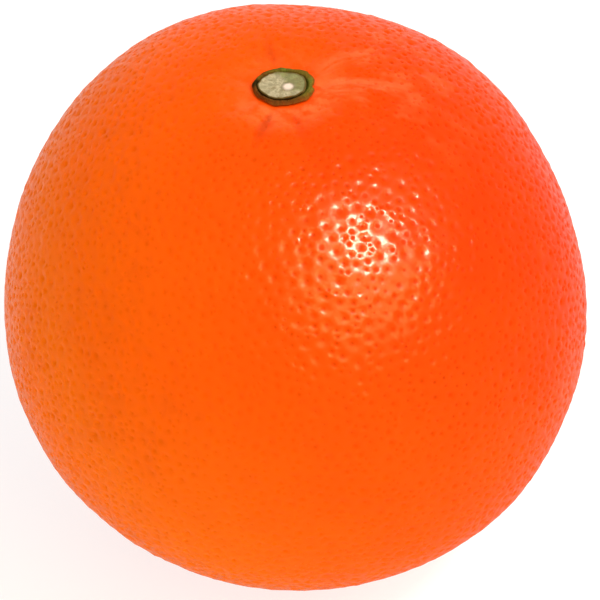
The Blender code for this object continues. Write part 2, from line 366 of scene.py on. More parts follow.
# %% The pitted rind
PORE_RADIUS = 0.36 * MM
PORE_SPREAD = 0.40


def store(mesh, label, kind, domain, values):
    """Keeps a value on each point or corner of the mesh, where the material can read it."""
    layer = mesh.attributes.new(label, kind, domain)
    field = "vector" if kind == "FLOAT_VECTOR" else "value"
    layer.data.foreach_set(field, values.astype(np.float32).reshape(-1))


def pitted_rind():
    draw = np.random.default_rng(SEED + 6)
    directions, size = pit_layout()
    points = rind(directions) + SHIFT - directions * pit_dips(directions, size, draw)[:, None]
    points, from_scar = stood_on_the_floor(points)

    ring, rim = len(pit_points), len(pit_points) + 3 * len(trios)
    ring_here = ring + np.arange(3 * len(trios))
    floors = np.stack([pit_of_ring, ring + ring_there, ring_here], axis=1)
    walls = np.stack([ring + ring_there, rim + rim_there, rim + rim_here, ring_here], axis=1)
    mesh = bpy.data.meshes.new("rind")
    mesh.from_pydata(points.tolist(), [], floors.tolist() + walls.tolist())
    mesh.shade_smooth()

    pit_of_corner = np.concatenate([np.repeat(pit_of_ring, 3), np.repeat(pit_of_ring, 4)])
    pore_radius = PORE_RADIUS * np.sqrt(size) * draw.uniform(1 - PORE_SPREAD, 1 + PORE_SPREAD, len(size))
    store(mesh, "pit_middle", "FLOAT_VECTOR", "CORNER", points[pit_of_corner])
    store(mesh, "pore_radius", "FLOAT", "CORNER", pore_radius[pit_of_corner])
    store(mesh, "stem_reach", "FLOAT", "POINT", from_stem(directions))
    store(mesh, "furrow", "FLOAT", "POINT", furrows(directions) / FURROW_DEPTH)
    store(mesh, "scar_reach", "FLOAT", "POINT", from_scar)
    obj = bpy.data.objects.new("pitted_rind", mesh)
    bpy.context.scene.collection.objects.link(obj)
    print("rind triangles:", len(floors) + 2 * len(walls))
    return obj


rind_piece = pitted_rind()
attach(rind_piece, "root")
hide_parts("fruit")

# %% [markdown]
# ## Materials in code
#
# A material is a graph of small nodes. It could be clicked together in the shader editor. In code these
# helpers keep it readable: one call makes a node, sets its values and links its inputs, and each later
# line reads like a step of painting. Most layers fade in along a ramp. A value named RAMP says where that
# ramp starts and ends, and then what it gives at both ends where that isn't 0 and 1.


# %% Node helpers
class Graph:
    """Builds one material's node graph."""

    def __init__(self, name):
        self.material = bpy.data.materials.new(name)
        self.material.use_nodes = True
        self.tree = self.material.node_tree
        self.shader = self.tree.nodes["Principled BSDF"]

    def node(self, kind, inputs=(), **settings):
        made = self.tree.nodes.new(kind)
        for name, value in settings.items():
            setattr(made, name, value)
        for socket, value in dict(inputs).items():
            self.put(made.inputs[socket], value)
        return made

    def put(self, socket, value):
        if isinstance(value, bpy.types.NodeSocket):
            self.tree.links.new(value, socket)
        else:
            socket.default_value = value

    def set(self, **values):
        for name, value in values.items():
            self.put(self.shader.inputs[name.replace("_", " ")], value)

    def finished(self):
        print(self.material.name, "has", len(self.tree.nodes), "nodes")
        return self.material

    def math(self, operation, *values):
        return self.node("ShaderNodeMath", dict(enumerate(values)), operation=operation).outputs["Value"]

    def times(self, *values):
        product = values[0]
        for value in values[1:]:
            product = self.math("MULTIPLY", product, value)
        return product

    def vector(self, operation, *values, output="Vector"):
        made = self.node("ShaderNodeVectorMath", dict(enumerate(values)), operation=operation)
        return made.outputs[output]

    def measure(self, operation, *values):
        """A vector operation that gives one number, such as a distance."""
        return self.vector(operation, *values, output="Value")

    def attribute(self, name, output="Fac"):
        made = self.node("ShaderNodeAttribute", attribute_name=name, attribute_type="GEOMETRY")
        return made.outputs[output]

    def place(self):
        """Where on the object the shaded point is, in metres."""
        return self.node("ShaderNodeTexCoord").outputs["Object"]


# %% Helpers that paint
class Painter(Graph):
    """A graph with the few steps that most paint layers are made of."""

    def ramp(self, value, low, high, to_low=0.0, to_high=1.0, smooth=True):
        """Runs from to_low to to_high while the value goes from low to high, and stays there beyond."""
        kind = "SMOOTHSTEP" if smooth else "LINEAR"
        limits = dict(enumerate((value, low, high, to_low, to_high)))
        return self.node("ShaderNodeMapRange", limits, interpolation_type=kind).outputs["Result"]

    def band(self, value, starts, full, fades, gone):
        """Rises from 0 to 1 between starts and full, and falls back to 0 between fades and gone."""
        return self.times(self.ramp(value, starts, full), self.ramp(value, fades, gone, 1.0, 0.0))

    def noise(self, where, size, detail=2.0, roughness=0.5):
        """Noise whose lumps are about this size."""
        sockets = {"Vector": where, "Scale": 1 / size, "Detail": detail, "Roughness": roughness}
        return self.node("ShaderNodeTexNoise", sockets).outputs["Fac"]

    def mix(self, share, first, second):
        """This share of the second colour over the first. The colour sockets of a Mix node are 6, 7 and 2."""
        return self.node("ShaderNodeMix", {0: share, 6: first, 7: second}, data_type="RGBA").outputs[2]

    def colours(self, value, stops):
        """The colour that a value has on its way through (value, colour) stops."""
        first, last = stops[0][0], stops[-1][0]
        made = self.node("ShaderNodeValToRGB", {"Fac": self.ramp(value, first, last, smooth=False)})
        marks = made.color_ramp.elements
        for _ in stops[2:]:
            marks.new(0.5)
        for mark, (at, colour) in zip(marks, stops):
            mark.position = (at - first) / (last - first)
            mark.color = colour
        return made.outputs["Color"]

    def bump(self, height):
        """A normal that follows this height in metres."""
        made = self.node("ShaderNodeBump", {"Height": height, "Distance": 1.0, "Strength": 1.0})
        return made.outputs["Normal"]


def rgb(red, green, blue):
    return (red, green, blue, 1.0)


# %% [markdown]
# ## The rind's own colour
#
# Ripe rind is a strong red-orange, but never one colour. The side that faced the sun is redder and the
# other side yellower, with soft blotches and a finer, duller mottle between. The sun side is put where the
# lamps stand, and the yellow side is also painted a little darker, which is painted shade. It could be
# painted by hand on an unwrapped texture. Here it is worked out from the direction of each place on the
# fruit and two sizes of noise, so it has no seam and looks the same from every side.

# %% The colour of the skin
# Yellower to redder towards the side that the sun and the lamps face; the yellow end is also a little darker,
# which is painted shade.
RIND_COLOURS = (
    (-0.30, rgb(0.88, 0.140, 0.0012)),
    (0.20, rgb(0.96, 0.104, 0.0010)),
    (0.62, rgb(0.98, 0.072, 0.0008)),
    (0.97, rgb(0.98, 0.043, 0.0008)),
)
SUN_AND_LAMP_SIDE = (0.75, -0.20, 0.63)
BLOTCH_SIZE = 14 * MM
BLOTCHES = 0.30
MOTTLE_SIZE = 4.5 * MM
MOTTLE_COLOUR = rgb(0.66, 0.080, 0.002)
MOTTLE_RAMP = (0.45, 0.75, 0.0, 0.20)


def skin_colour(g, where):
    """The skin's colour, how much each place faces the sun and the lamps, and the mottle. The yellow side is
    painted a little darker, as painted shade.
    """
    heading = g.vector("NORMALIZE", g.vector("SUBTRACT", where, tuple(SHIFT)))
    facing = g.measure("DOT_PRODUCT", heading, SUN_AND_LAMP_SIDE)
    blotches = g.math("SUBTRACT", g.noise(where, BLOTCH_SIZE, detail=3.0), 0.5)
    sun_and_lamp = g.math("ADD", facing, g.times(blotches, BLOTCHES))
    mottle = g.noise(where, MOTTLE_SIZE, detail=3.0, roughness=0.6)
    colour = g.mix(g.ramp(mottle, *MOTTLE_RAMP), g.colours(sun_and_lamp, RIND_COLOURS), MOTTLE_COLOUR)
    return colour, sun_and_lamp, mottle


# %% [markdown]
# ## Marks near the stem and the scar
#
# Round the button the rind carries painted light: a painted highlight on a thin broken lip right at the
# calyx, and pale streaks of painted sheen that run outwards on one side. The furrows get painted shade, a
# darker brown, and underneath is the corky dot that the flower left. Each mark is one layer of paint. Its
# place comes from values that the mesh carries: the reach from the stem, the depth of the furrows, and the
# distance from the scar.

# %% The marks
STREAK_SIZE = 1.8 * MM
# Painted highlight on a broken lip round the button.
LIP_HIGHLIGHT_COLOUR = rgb(1.0, 0.20, 0.05)
LIP_HIGHLIGHT_REACH = (3.6 * MM, 4.6 * MM, 5.0 * MM, 10.0 * MM)
LIP_HIGHLIGHT_RAMP = (0.35, 0.62, 0.05, 0.55)
LIP_HIGHLIGHT_TOWARDS = (0.45, -0.89, 0.0)
LIP_HIGHLIGHT_SIDE_RAMP = (-0.7, 0.6, 0.3, 1.0)
# Painted sheen: pale streaks that run out from the stem on one side.
RAY_SHEEN_COLOUR = rgb(0.98, 0.19, 0.055)
RAY_SHEEN_REACH = (4.5 * MM, 7.5 * MM, 13.0 * MM, 28.0 * MM)
RAY_SHEEN_RAMP = (0.42, 0.70, 0.0, 0.46)
RAY_SHEEN_TOWARDS = (0.97, 0.24, 0.0)
RAY_SHEEN_SIDE_RAMP = (0.6, 0.95)
RAY_SHEEN_WIDTH = 0.21
RAY_SHEEN_CHANGE = 45.0
# Painted shade in the furrows.
FURROW_SHADE_COLOUR = rgb(0.46, 0.036, 0.002)
FURROW_SHADE_RAMP = (0.5, 1.0, 0.0, 0.60)
SCAR_COLOUR = rgb(0.27, 0.090, 0.018)
SCAR_RAMP = (1.3 * MM, 2.3 * MM, 1.0, 0.0)
SCAR_WANDER = 1.6 * MM


def painted_lip_highlight(g, streaks, outwards, stem_reach):
    """A painted highlight: a broken pale ring right round the button, clearest towards one side."""
    side = g.ramp(g.measure("DOT_PRODUCT", outwards, LIP_HIGHLIGHT_TOWARDS), *LIP_HIGHLIGHT_SIDE_RAMP)
    return g.times(g.band(stem_reach, *LIP_HIGHLIGHT_REACH), g.ramp(streaks, *LIP_HIGHLIGHT_RAMP), side)


def painted_ray_sheen(g, outwards, stem_reach):
    """Painted sheen: pale streaks that run outwards from the stem, on one side."""
    along = g.node("ShaderNodeCombineXYZ", {"Z": g.times(stem_reach, RAY_SHEEN_CHANGE)}).outputs[0]
    streaks = g.noise(g.vector("ADD", outwards, along), RAY_SHEEN_WIDTH, roughness=0.6)
    streaks = g.ramp(streaks, *RAY_SHEEN_RAMP)
    side = g.ramp(g.measure("DOT_PRODUCT", outwards, RAY_SHEEN_TOWARDS), *RAY_SHEEN_SIDE_RAMP)
    return g.times(streaks, side, g.band(stem_reach, *RAY_SHEEN_REACH))


def marked(g, where, colour):
    """The colour with the painted highlight of the lip, the painted sheen of the rays, the painted shade of
    the creases and the scar over it.
    """
    stem_reach = g.attribute("stem_reach")
    outwards = g.vector("NORMALIZE", g.vector("MULTIPLY", where, (1.0, 1.0, 0.0)))
    streaks = g.noise(where, STREAK_SIZE, detail=3.0)
    # Painted highlight on the lip, painted sheen in the rays, painted shade in the furrows, then the real
    # scar.
    colour = g.mix(painted_lip_highlight(g, streaks, outwards, stem_reach), colour, LIP_HIGHLIGHT_COLOUR)
    colour = g.mix(painted_ray_sheen(g, outwards, stem_reach), colour, RAY_SHEEN_COLOUR)
    colour = g.mix(g.ramp(g.attribute("furrow"), *FURROW_SHADE_RAMP), colour, FURROW_SHADE_COLOUR)
    wander = g.times(g.math("SUBTRACT", streaks, 0.5), SCAR_WANDER)
    scar_reach = g.math("ADD", g.attribute("scar_reach"), wander)
    return g.mix(g.ramp(scar_reach, *SCAR_RAMP), colour, SCAR_COLOUR)


# %% [markdown]
# ## Pores, and the whole rind material
#
# At the bottom of each pit sits the gland itself, seen through the skin as a deeper dot. The dot is also
# painted shade in the pit, strongest on the side that the sun and the lamps face, where the highlight
# falls. The skin between has a waxy gloss, and the pore's floor is duller, which is why the highlight
# looks like a net with small dark holes. A texture of dots would miss the modelled pits, so the mesh
# tells each face where the middle of its pit is and how wide its pore is. The same value then steers
# tint, roughness, shine and a last fine dip. A little light passes into the skin and out again, as in real
# peel. The index of refraction is lower than a real rind's, about 1.45, because at that value the white
# studio would wash the orange out.

# %% The rind material
# The glands' darker dots, which are also painted shade in the pits, strongest where the lamps and the
# highlight fall.
PORE_DOT_AND_SHADE_COLOUR = rgb(0.28, 0.022, 0.0008)
PORE_DOT_RAMP = (0.2, 1.1, 1.0, 0.0)
PORE_SHADE_LIT_SIDE_RAMP = (0.3, 0.8, 0.08, 0.48)
PORE_MOTTLE_RAMP = (0.3, 0.7, 0.5, 1.0)
PORE_DOT_AND_SHADE_REACH = (5.0 * MM, 16.0 * MM)
PORE_FLOOR_RAMP = (0.62, 1.12, 1.0, 0.0)
PORE_DIP_RAMP = (-0.5, 1.0, -0.05 * MM, 0.0)
PORE_ROUGHNESS = 0.44
SKIN_ROUGHNESS = 0.24
PORE_SHINE = 0.08
SKIN_SHINE = 0.5
SKIN_TINT = rgb(1.0, 0.85, 0.70)
SKIN_IOR = 1.12
FINE_SIZE = 0.35 * MM
FINE_HEIGHT = 0.006 * MM
GLOW_SHARE = 0.12
GLOW_REACH = 1.2 * MM
GLOW_COLOUR = (1.0, 0.35, 0.1)


def rind_material():
    g = Painter("orange_rind")
    where = g.place()
    colour, sun_and_lamp, mottle = skin_colour(g, where)
    colour = marked(g, where, colour)

    from_middle = g.measure("DISTANCE", where, g.attribute("pit_middle", "Vector"))
    pore = g.math("DIVIDE", from_middle, g.attribute("pore_radius"))
    stem_reach = g.attribute("stem_reach")
    pitted = g.ramp(stem_reach, PITS_START, PITS_FULL)
    # Painted shade in the pits on top of the glands' own dots, strongest on the lit side.
    pore_dot_and_shade = g.times(g.ramp(sun_and_lamp, *PORE_SHADE_LIT_SIDE_RAMP), g.ramp(mottle, *PORE_MOTTLE_RAMP))
    pore_dot_and_shade = g.times(pore_dot_and_shade, g.ramp(stem_reach, *PORE_DOT_AND_SHADE_REACH))
    colour = g.mix(g.times(g.ramp(pore, *PORE_DOT_RAMP), pore_dot_and_shade), colour, PORE_DOT_AND_SHADE_COLOUR)
    pore_floor = g.times(g.ramp(pore, *PORE_FLOOR_RAMP), pitted)
    roughness = g.ramp(pore_floor, 0.0, 1.0, SKIN_ROUGHNESS, PORE_ROUGHNESS, smooth=False)
    shine = g.ramp(pore_floor, 0.0, 1.0, SKIN_SHINE, PORE_SHINE, smooth=False)
    dip = g.times(g.ramp(pore, *PORE_DIP_RAMP), pitted)
    height = g.math("ADD", dip, g.times(g.noise(where, FINE_SIZE), FINE_HEIGHT))

    g.set(Base_Color=colour, Roughness=roughness, IOR=SKIN_IOR, Normal=g.bump(height))
    g.set(Specular_IOR_Level=shine, Specular_Tint=SKIN_TINT)
    g.set(Subsurface_Weight=GLOW_SHARE, Subsurface_Scale=GLOW_REACH, Subsurface_Radius=GLOW_COLOUR)
    return g.finished()


rind_piece.data.materials.append(rind_material())

# %% [markdown]
# ## Turning the button's two pieces
#
# The button is what stays on when a citrus fruit is clipped: the calyx, a small dry collar, and in it the
# cut end of the stem. Both could be sculpted from a cylinder. Both are near enough round, though, so each
# starts as a profile that is turned round the stem's axis. Corner cutting rounds the profile, and a shape
# function then makes each turn uneven, the way dry plant tissue is.

# %% Places on the stem end
CALYX_RADIUS = 4.08 * MM
CALYX_SEAT_RADIUS = 3.05 * MM
STUB_STRETCH = np.array([0.0, 0.0, 0.085])
EDGE_STRETCH = np.array([0.045, 0.065, 0.050])


def across_stem(around):
    """Unit vectors square to the stem's axis, at these turns round it."""
    first, second = square_to(STEM_AXIS)
    return np.cos(around)[:, None] * first + np.sin(around)[:, None] * second


def over_the_stem(reach, around):
    """Points on the rind at these distances from the stem's axis."""
    return rind(unit(STEM_AXIS * MEAN_RADIUS + reach[:, None] * across_stem(around))) + SHIFT


def stretched(reach, around):
    """The button grew wider than it is deep, and the collar's edge reaches further to +X and +Y."""
    outer = smooth_step(reach, CALYX_SEAT_RADIUS, CALYX_RADIUS)[:, None]
    shares = (1 - outer) * STUB_STRETCH + outer * EDGE_STRETCH
    turns = np.stack([np.cos(around), np.sin(around), np.cos(2 * around)], axis=1)
    return reach * (1 + (shares * turns).sum(axis=1))


STEM_MIDDLE = over_the_stem(np.zeros(1), np.zeros(1))[0]
print("middle of the stem end, mm:", np.round(STEM_MIDDLE / MM, 2))


# %% A turned piece
CORNER_CUTS = 3
CUT_SHARE = 0.25


def rounded(profile):
    """The profile with its corners cut off a few times over. Its two ends stay on the axis."""
    line = np.array(profile)
    for _ in range(CORNER_CUTS):
        step = CUT_SHARE * (line[1:] - line[:-1])
        inner = np.stack([line[:-1] + step, line[1:] - step], axis=1).reshape(-1, 2)
        line = np.concatenate([line[:1], inner[1:-1], line[-1:]])
    return line


def turned_piece(name, profile, sides, shape):
    """A closed mesh turned from a profile of (reach, rise) pairs. shape gives each point its place."""
    rows = len(profile) - 2
    turns = np.arange(sides) / sides * 2 * math.pi
    reach = np.concatenate([[0.0], np.repeat(profile[1:-1, 0], sides), [0.0]])
    rise = np.concatenate([profile[:1, 1], np.repeat(profile[1:-1, 1], sides), profile[-1:, 1]])
    around = np.concatenate([[0.0], np.tile(turns, rows), [0.0]])
    points = shape(reach, rise, around)
    here = 1 + np.arange(rows * sides).reshape(rows, sides)
    beside = np.roll(here, -1, axis=1)
    faces = np.stack([here[:-1], beside[:-1], beside[1:], here[1:]], axis=-1).reshape(-1, 4).tolist()
    faces += [(0, int(b), int(a)) for a, b in zip(here[0], beside[0])]
    faces += [(int(a), int(b), len(points) - 1) for a, b in zip(here[-1], beside[-1])]
    mesh = bpy.data.meshes.new(name)
    mesh.from_pydata(points.tolist(), [], faces)
    mesh.shade_smooth()
    store(mesh, "reach", "FLOAT", "POINT", reach)
    obj = bpy.data.objects.new(name, mesh)
    bpy.context.scene.collection.objects.link(obj)
    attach(obj, "root")
    print(name, len(mesh.polygons), "faces")
    return obj


# %% [markdown]
# ## The calyx
#
# On the tree the calyx was five small green sepals, fused into a ring. Now it is a low, leathery collar
# that hugs the rind: a thin outer edge with five blunt lobes, a slope up to a rolled rim, and a hollow
# inside for the stem. Turned from a profile, its underside follows the rind by itself, and the lobes and
# wrinkles are added by the shape function. Each wrinkle is a wave in space, so there is no seam where the
# turn closes.

# %% The calyx collar
CALYX_LOBES = 5
CALYX_LOBE_AT = 38.0
CALYX_BLUNTNESS = 0.6
CALYX_NOTCH = 0.11
CALYX_NOTCHED_FROM = 3.4 * MM
CALYX_SIDES = 240
CALYX_EDGE = 0.24 * MM
CALYX_RIM_RADIUS = 3.36 * MM
CALYX_RIM_HEIGHT = 0.66 * MM
CALYX_SEAT_HEIGHT = 0.22 * MM
CALYX_LIFT = 0.08 * MM
CALYX_UPPER_FROM = 0.3 * CALYX_EDGE
CALYX_WRINKLED_FROM = 0.8 * CALYX_SEAT_RADIUS
CALYX_WRINKLE_CHANGE = 0.3
# Lumps: how many waves, how long they are, and how high.
CALYX_RAGGED = (24, (0.7 * MM, 2.4 * MM), 0.020)
CALYX_WRINKLES = (30, (0.35 * MM, 1.3 * MM), 0.045 * MM)
CALYX_SAG = (12, (4.0 * MM, 11.0 * MM), 0.07 * MM)


def calyx_shape(reach, rise, around):
    across = across_stem(around)
    ring = across * CALYX_RADIUS
    lobe = np.abs(np.cos(CALYX_LOBES / 2 * (around - math.radians(CALYX_LOBE_AT))))
    outer = smooth_step(reach, CALYX_NOTCHED_FROM, CALYX_RADIUS)
    ragged = lumps(ring, SEED + 7, *CALYX_RAGGED)
    reach = reach * (1 - CALYX_NOTCH * outer * (1 - lobe**CALYX_BLUNTNESS) + ragged * outer)
    upper = smooth_step(rise, CALYX_UPPER_FROM, CALYX_RIM_HEIGHT)
    places = ring + CALYX_WRINKLE_CHANGE * reach[:, None] * across
    wrinkles = lumps(places, SEED + 8, *CALYX_WRINKLES)
    wrinkles *= smooth_step(reach, CALYX_WRINKLED_FROM, CALYX_RIM_RADIUS)
    rise = rise + upper * (wrinkles + lumps(ring, SEED + 9, *CALYX_SAG))
    return over_the_stem(stretched(reach, around), around) + STEM_AXIS * (rise + CALYX_LIFT)[:, None]


# Out along the underside, round the thin edge, up over the rim and down to the seat.
calyx_profile = rounded(
    (
        (0.0, 0.0),
        (0.5 * CALYX_RADIUS, 0.0),
        (0.96 * CALYX_RADIUS, 0.0),
        (CALYX_RADIUS, 0.5 * CALYX_EDGE),
        (0.97 * CALYX_RADIUS, CALYX_EDGE),
        (0.5 * (CALYX_RADIUS + CALYX_RIM_RADIUS), 0.55 * (CALYX_EDGE + CALYX_RIM_HEIGHT)),
        (1.05 * CALYX_RIM_RADIUS, CALYX_RIM_HEIGHT),
        (0.98 * CALYX_RIM_RADIUS, 1.04 * CALYX_RIM_HEIGHT),
        (0.5 * (CALYX_RIM_RADIUS + CALYX_SEAT_RADIUS), 0.90 * CALYX_RIM_HEIGHT),
        (CALYX_SEAT_RADIUS, CALYX_SEAT_HEIGHT),
        (0.94 * CALYX_SEAT_RADIUS, CALYX_SEAT_HEIGHT),
        (0.5 * CALYX_SEAT_RADIUS, CALYX_SEAT_HEIGHT),
        (0.0, CALYX_SEAT_HEIGHT),
    )
)
calyx_piece = turned_piece("calyx_collar", calyx_profile, CALYX_SIDES, calyx_shape)
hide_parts("calyx")

# %% [markdown]
# ## The clipped stem
#
# Clippers leave a short woody stub. Its cut face has dried pale and slightly dished, with a harder rim of
# bark round it, fibres that stand up a little, and off its middle a small bright plug of pith. A cylinder
# with a bump texture would look like a coin from the side, so the dish, the fibres and the plug are part
# of the mesh. Its foot is narrower than its face, so that it clears the collar's slope.

# %% The stem stub
STUB_RADIUS = 2.86 * MM
STUB_LENGTH = 0.66 * MM
STUB_GAP = 0.12 * MM
STUB_LIFT = CALYX_LIFT + CALYX_SEAT_HEIGHT + STUB_GAP
STUB_BARK = 0.18 * MM
STUB_DISH = 0.12 * MM
STUB_SIDES = 200
STUB_FLUTES = 5
STUB_FLUTING = 0.035
STUB_TOP_FROM = 0.7 * STUB_LENGTH
STUB_RAGGED = (24, (0.6 * MM, 3.0 * MM), 0.016)
STUB_FIBRES = (50, (0.22 * MM, 1.1 * MM), 0.022 * MM)
STUB_SLOPE = (8, (4.0 * MM, 9.0 * MM), 0.05 * MM)
PITH_RADIUS = 0.55 * MM
PITH_HEIGHT = 0.10 * MM
PITH_OFFSET = (0.70 * MM, -0.30 * MM)


def stub_shape(reach, rise, around):
    across = across_stem(around)
    ragged = lumps(across * STUB_RADIUS, SEED + 10, *STUB_RAGGED)
    reach = reach * (1 - STUB_FLUTING * (0.5 + 0.5 * np.cos(STUB_FLUTES * around)) + ragged)
    sideways = reach * np.cos(around) - PITH_OFFSET[0]
    from_pith = np.hypot(sideways, reach * np.sin(around) - PITH_OFFSET[1])
    pith = PITH_HEIGHT * np.exp(-((from_pith / PITH_RADIUS) ** 4))
    places = reach[:, None] * across
    fibres = lumps(places, SEED + 12, *STUB_FIBRES)
    slope = lumps(places, SEED + 13, *STUB_SLOPE)
    rise = rise + (rise > STUB_TOP_FROM) * (pith + fibres + slope)
    sideways = stretched(reach, around)[:, None] * across
    return STEM_MIDDLE + sideways + STEM_AXIS * (STUB_LIFT + rise)[:, None]


# Out from under the foot, up the side, over the bark and back across the dished face.
stub_face = STUB_LENGTH - STUB_DISH
stub_profile = rounded(
    (
        (0.0, 0.0),
        (0.65 * STUB_RADIUS, 0.0),
        (0.84 * STUB_RADIUS, 0.15 * STUB_LENGTH),
        (0.96 * STUB_RADIUS, 0.50 * STUB_LENGTH),
        (STUB_RADIUS, 0.80 * STUB_LENGTH),
        (STUB_RADIUS - 0.4 * STUB_BARK, STUB_LENGTH),
        (STUB_RADIUS - STUB_BARK, STUB_LENGTH),
        (STUB_RADIUS - 1.8 * STUB_BARK, stub_face),
        (0.66 * STUB_RADIUS, stub_face),
        (0.50 * STUB_RADIUS, stub_face),
        (0.33 * STUB_RADIUS, stub_face),
        (0.16 * STUB_RADIUS, stub_face),
        (0.0, stub_face),
    )
)
stub_piece = turned_piece("clipped_stem", stub_profile, STUB_SIDES, stub_shape)
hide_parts("stem_stub")

# %% [markdown]
# ## The calyx's colours
#
# The dry calyx is olive green where it was last alive and brown where it dried first, along its thin edge.
# It is also browner and darker on the side away from the lamps, which is partly drying and partly painted
# shade. A near-black spot on its inner rim at that side is painted shadow of the stem stub. The layers are
# painted from the widest to the smallest, and the same grain that darkens the colour also roughens the
# surface, so that both belong together.

# %% The calyx material
# Brown of the dried calyx, also painted shade on the side away from the lamps.
DRY_BROWN_AND_SHADE = rgb(0.16, 0.052, 0.007)
EDGE_BROWN = rgb(0.24, 0.070, 0.006)
OLIVE = rgb(0.17, 0.11, 0.012)
LEAF_GREEN = rgb(0.16, 0.17, 0.02)
GRAIN_BROWN = rgb(0.03, 0.012, 0.002)
# Painted shadow of the stem stub: a near-black spot on the calyx's inner rim.
STUB_SHADOW_COLOUR = rgb(0.012, 0.012, 0.002)
STUB_SHADOW_REACH = 3.55 * MM
STUB_SHADOW_AT = 172.0
STUB_SHADOW_RAMP = (0.35 * MM, 1.0 * MM, 0.9, 0.0)
GREEN_LIT_TOWARDS = (0.7, 0.7, 0.0)
GREEN_LIT_SIDE_RAMP = (-3.5 * MM, 3.5 * MM, -0.25, 0.35)
OLIVE_RAMP = (0.40, 0.70)
LEAF_GREEN_RAMP = (0.70, 1.0)
EDGE_BROWN_RAMP = (0.90 * CALYX_RADIUS, CALYX_RADIUS, 0.0, 0.8)
GRAIN_BROWN_RAMP = (0.35, 0.65, 0.35, 0.0)
CALYX_ROUGHNESS_RAMP = (0.3, 0.7, 0.75, 0.95)
CALYX_PATCHES = 1.6 * MM
CALYX_GRAIN = 0.25 * MM
CALYX_RELIEF = 0.05 * MM
DULL_IOR = 1.05


def calyx_material():
    g = Painter("olive_calyx")
    where = g.place()
    patches = g.noise(where, CALYX_PATCHES, detail=3.0)
    grain = g.noise(where, CALYX_GRAIN, detail=4.0, roughness=0.6)
    # Greener towards the lamps, browner and darker away from them: part drying, part painted shade.
    side = g.measure("DOT_PRODUCT", g.vector("SUBTRACT", where, tuple(STEM_MIDDLE)), GREEN_LIT_TOWARDS)
    green = g.math("ADD", g.ramp(side, *GREEN_LIT_SIDE_RAMP), patches)
    colour = g.mix(g.ramp(green, *OLIVE_RAMP), DRY_BROWN_AND_SHADE, OLIVE)
    colour = g.mix(g.ramp(green, *LEAF_GREEN_RAMP), colour, LEAF_GREEN)
    colour = g.mix(g.ramp(g.attribute("reach"), *EDGE_BROWN_RAMP), colour, EDGE_BROWN)
    colour = g.mix(g.ramp(grain, *GRAIN_BROWN_RAMP), colour, GRAIN_BROWN)
    # Painted shadow of the stem stub on the calyx's inner rim.
    stub_shadow = over_the_stem(np.array([STUB_SHADOW_REACH]), np.radians([STUB_SHADOW_AT]))[0] + STEM_AXIS * CALYX_RIM_HEIGHT
    from_stub_shadow = g.measure("DISTANCE", where, tuple(stub_shadow))
    colour = g.mix(g.ramp(from_stub_shadow, *STUB_SHADOW_RAMP), colour, STUB_SHADOW_COLOUR)
    height = g.times(g.math("ADD", grain, patches), CALYX_RELIEF)
    roughness = g.ramp(grain, *CALYX_ROUGHNESS_RAMP)
    g.set(Base_Color=colour, Roughness=roughness, IOR=DULL_IOR, Normal=g.bump(height))
    return g.finished()


calyx_piece.data.materials.append(calyx_material())

# %% [markdown]
# ## The cut wood's colours
#
# Fresh wood is cream. After some days it is a greyish beige with a green tint towards one side, brown
# stains, faint rays from the middle, and a dark line of bark round it. The pith stays bright in its
# darker ring. The rays come from noise that is read by direction alone, which makes every fleck run
# outwards.

# %% The stem material
WOOD = rgb(0.60, 0.49, 0.29)
GREEN_WOOD = rgb(0.31, 0.30, 0.115)
STAIN = rgb(0.30, 0.17, 0.06)
RAY_SHADE = rgb(0.20, 0.17, 0.075)
GRAIN_SHADE = rgb(0.16, 0.12, 0.05)
PITH_RING = rgb(0.20, 0.15, 0.08)
PITH = rgb(0.90, 0.68, 0.52)
BARK = rgb(0.15, 0.09, 0.022)
GREEN_WOOD_TOWARDS = (0.80, 0.60, 0.0)
GREEN_WOOD_SIDE_RAMP = (-1.5 * MM, 2.5 * MM, -0.3, 0.3)
GREEN_WOOD_RAMP = (0.40, 0.75)
STAIN_RAMP = (0.50, 0.72, 0.0, 0.55)
RAY_SHADE_RAMP = (0.38, 0.62, 0.55, 0.0)
GRAIN_SHADE_RAMP = (0.35, 0.7, 0.3, 0.0)
PITH_RING_RAMP = (1.2 * PITH_RADIUS, 2.2 * PITH_RADIUS, 0.55, 0.0)
PITH_RAMP = (0.6 * PITH_RADIUS, 1.5 * PITH_RADIUS, 1.0, 0.0)
BARK_RAMP = (STUB_RADIUS - 1.6 * STUB_BARK, STUB_RADIUS - 0.6 * STUB_BARK)
WOOD_PATCHES = 1.4 * MM
WOOD_STAINS = 0.9 * MM
WOOD_RAYS = 0.30
WOOD_GRAIN = 0.16 * MM
WOOD_RELIEF = 0.05 * MM
WOOD_ROUGHNESS = 0.85


def distance_from_pith(g, from_middle):
    """How far each place is from the line that runs down the middle of the pith."""
    first, second = square_to(STEM_AXIS)
    across = g.vector("SUBTRACT", from_middle, tuple(first * PITH_OFFSET[0] + second * PITH_OFFSET[1]))
    along = g.measure("DOT_PRODUCT", across, tuple(STEM_AXIS))
    flat = g.vector("SUBTRACT", across, g.vector("MULTIPLY", tuple(STEM_AXIS), along))
    return g.measure("LENGTH", flat)


